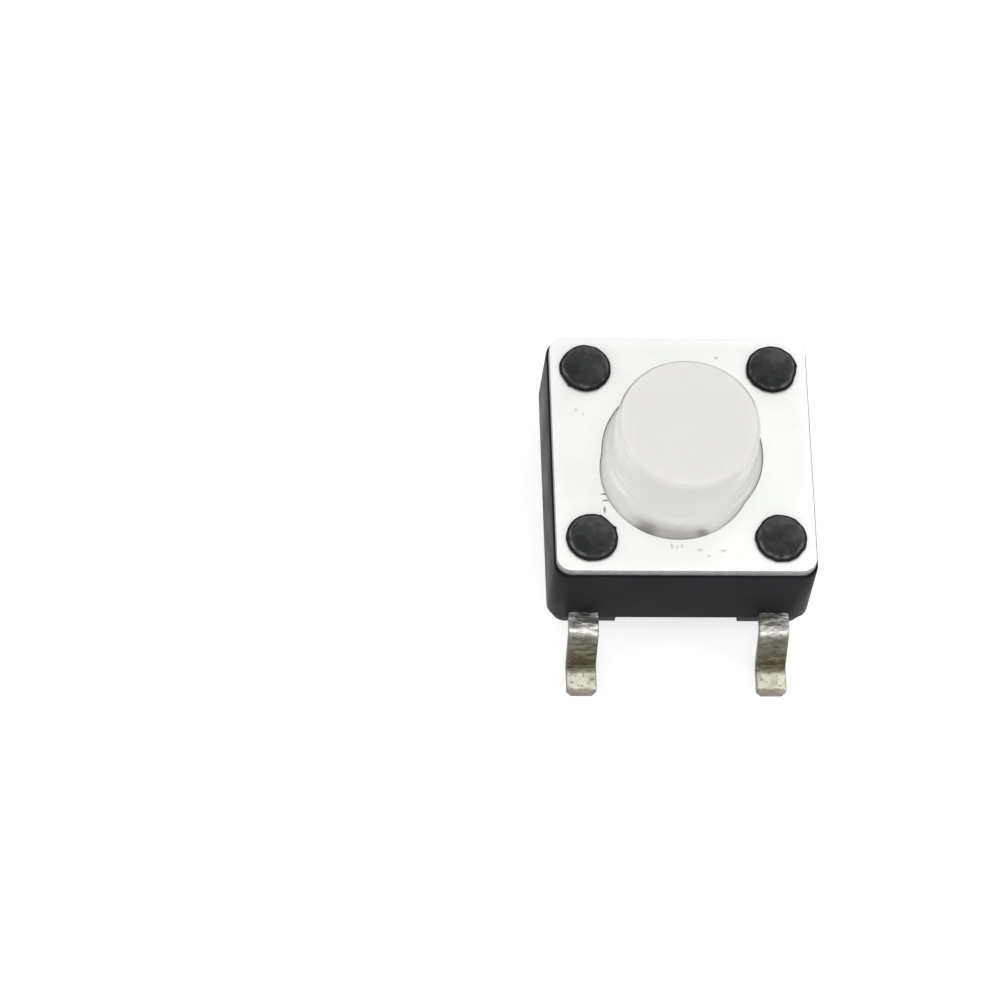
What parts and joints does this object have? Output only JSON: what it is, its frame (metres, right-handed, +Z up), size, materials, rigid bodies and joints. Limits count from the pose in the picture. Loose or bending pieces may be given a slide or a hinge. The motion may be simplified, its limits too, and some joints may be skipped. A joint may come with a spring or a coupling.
{
  "type": "tactile push button switch",
  "caption": "Square surface-mount momentary switch with a round plunger, a metal cover held by staked posts, and gull-wing leads.",
  "frame": {"origin": "middle of the body on the plane of the four lead soles, which is the board's face", "axes": "+Z up along the plunger's axis, +Y from the front pair of leads to the back pair, +X across the body"},
  "size_m": [0.006, 0.0092, 0.005],
  "materials": {
    "housing": "fine matte moulding",
    "cover": "satin sheet",
    "plunger": "semi-gloss moulding",
    "dome": "bright spring sheet",
    "terminal": "plated"
  },
  "bodies": {
    "switch_body": {"base_housing": "housing", "cover_plate": "cover", "contact_dome": "dome", "terminal_centre": "terminal", "terminal_outer": "terminal"},
    "button": {"plunger": "plunger"}
  },
  "joints": [
    {"name": "plunger_press", "type": "slide", "parent": "switch_body", "child": "button", "axis": [0, 0, -1], "range_m": [0, 0.00025], "stiffness_N_per_m": 6280, "deforming": ["contact_dome"]}
  ]
}
